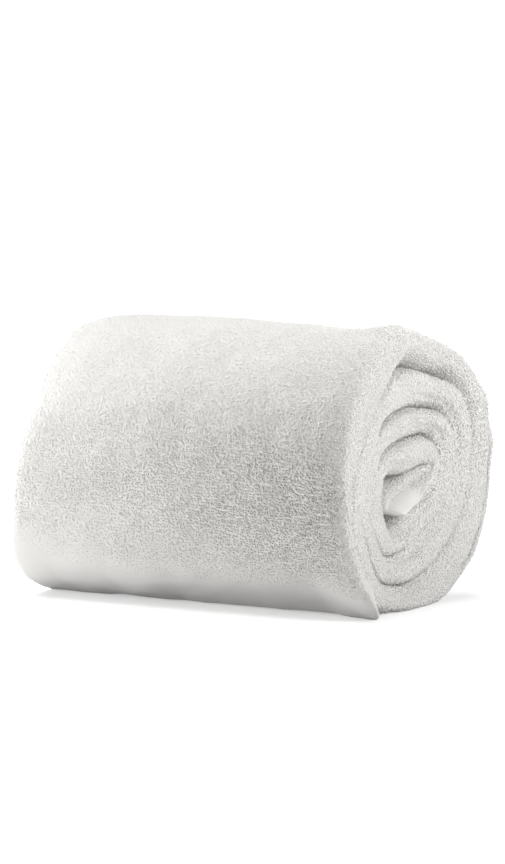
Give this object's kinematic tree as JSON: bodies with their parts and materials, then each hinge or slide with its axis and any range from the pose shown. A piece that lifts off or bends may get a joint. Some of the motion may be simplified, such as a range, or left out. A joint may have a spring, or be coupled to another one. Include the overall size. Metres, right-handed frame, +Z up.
{
  "type": "rolled bath towel",
  "caption": "White terry bath towel, folded in thirds and rolled up, its spiral of soft turns showing at the open end and its loose end tucked under the front.",
  "frame": {"origin": "on the surface that the roll rests on, under the middle of its bounding box", "axes": "+X along the roll's axis, out of the end whose spiral shows; -Y towards the front, where the loose end comes down; +Z up"},
  "size_m": [0.2623, 0.2019, 0.1839],
  "materials": {
    "terry": "dense cotton loop pile, matt, with smooth woven hems"
  },
  "bodies": {
    "root": {"rolled_towel": "terry"}
  },
  "joints": []
}
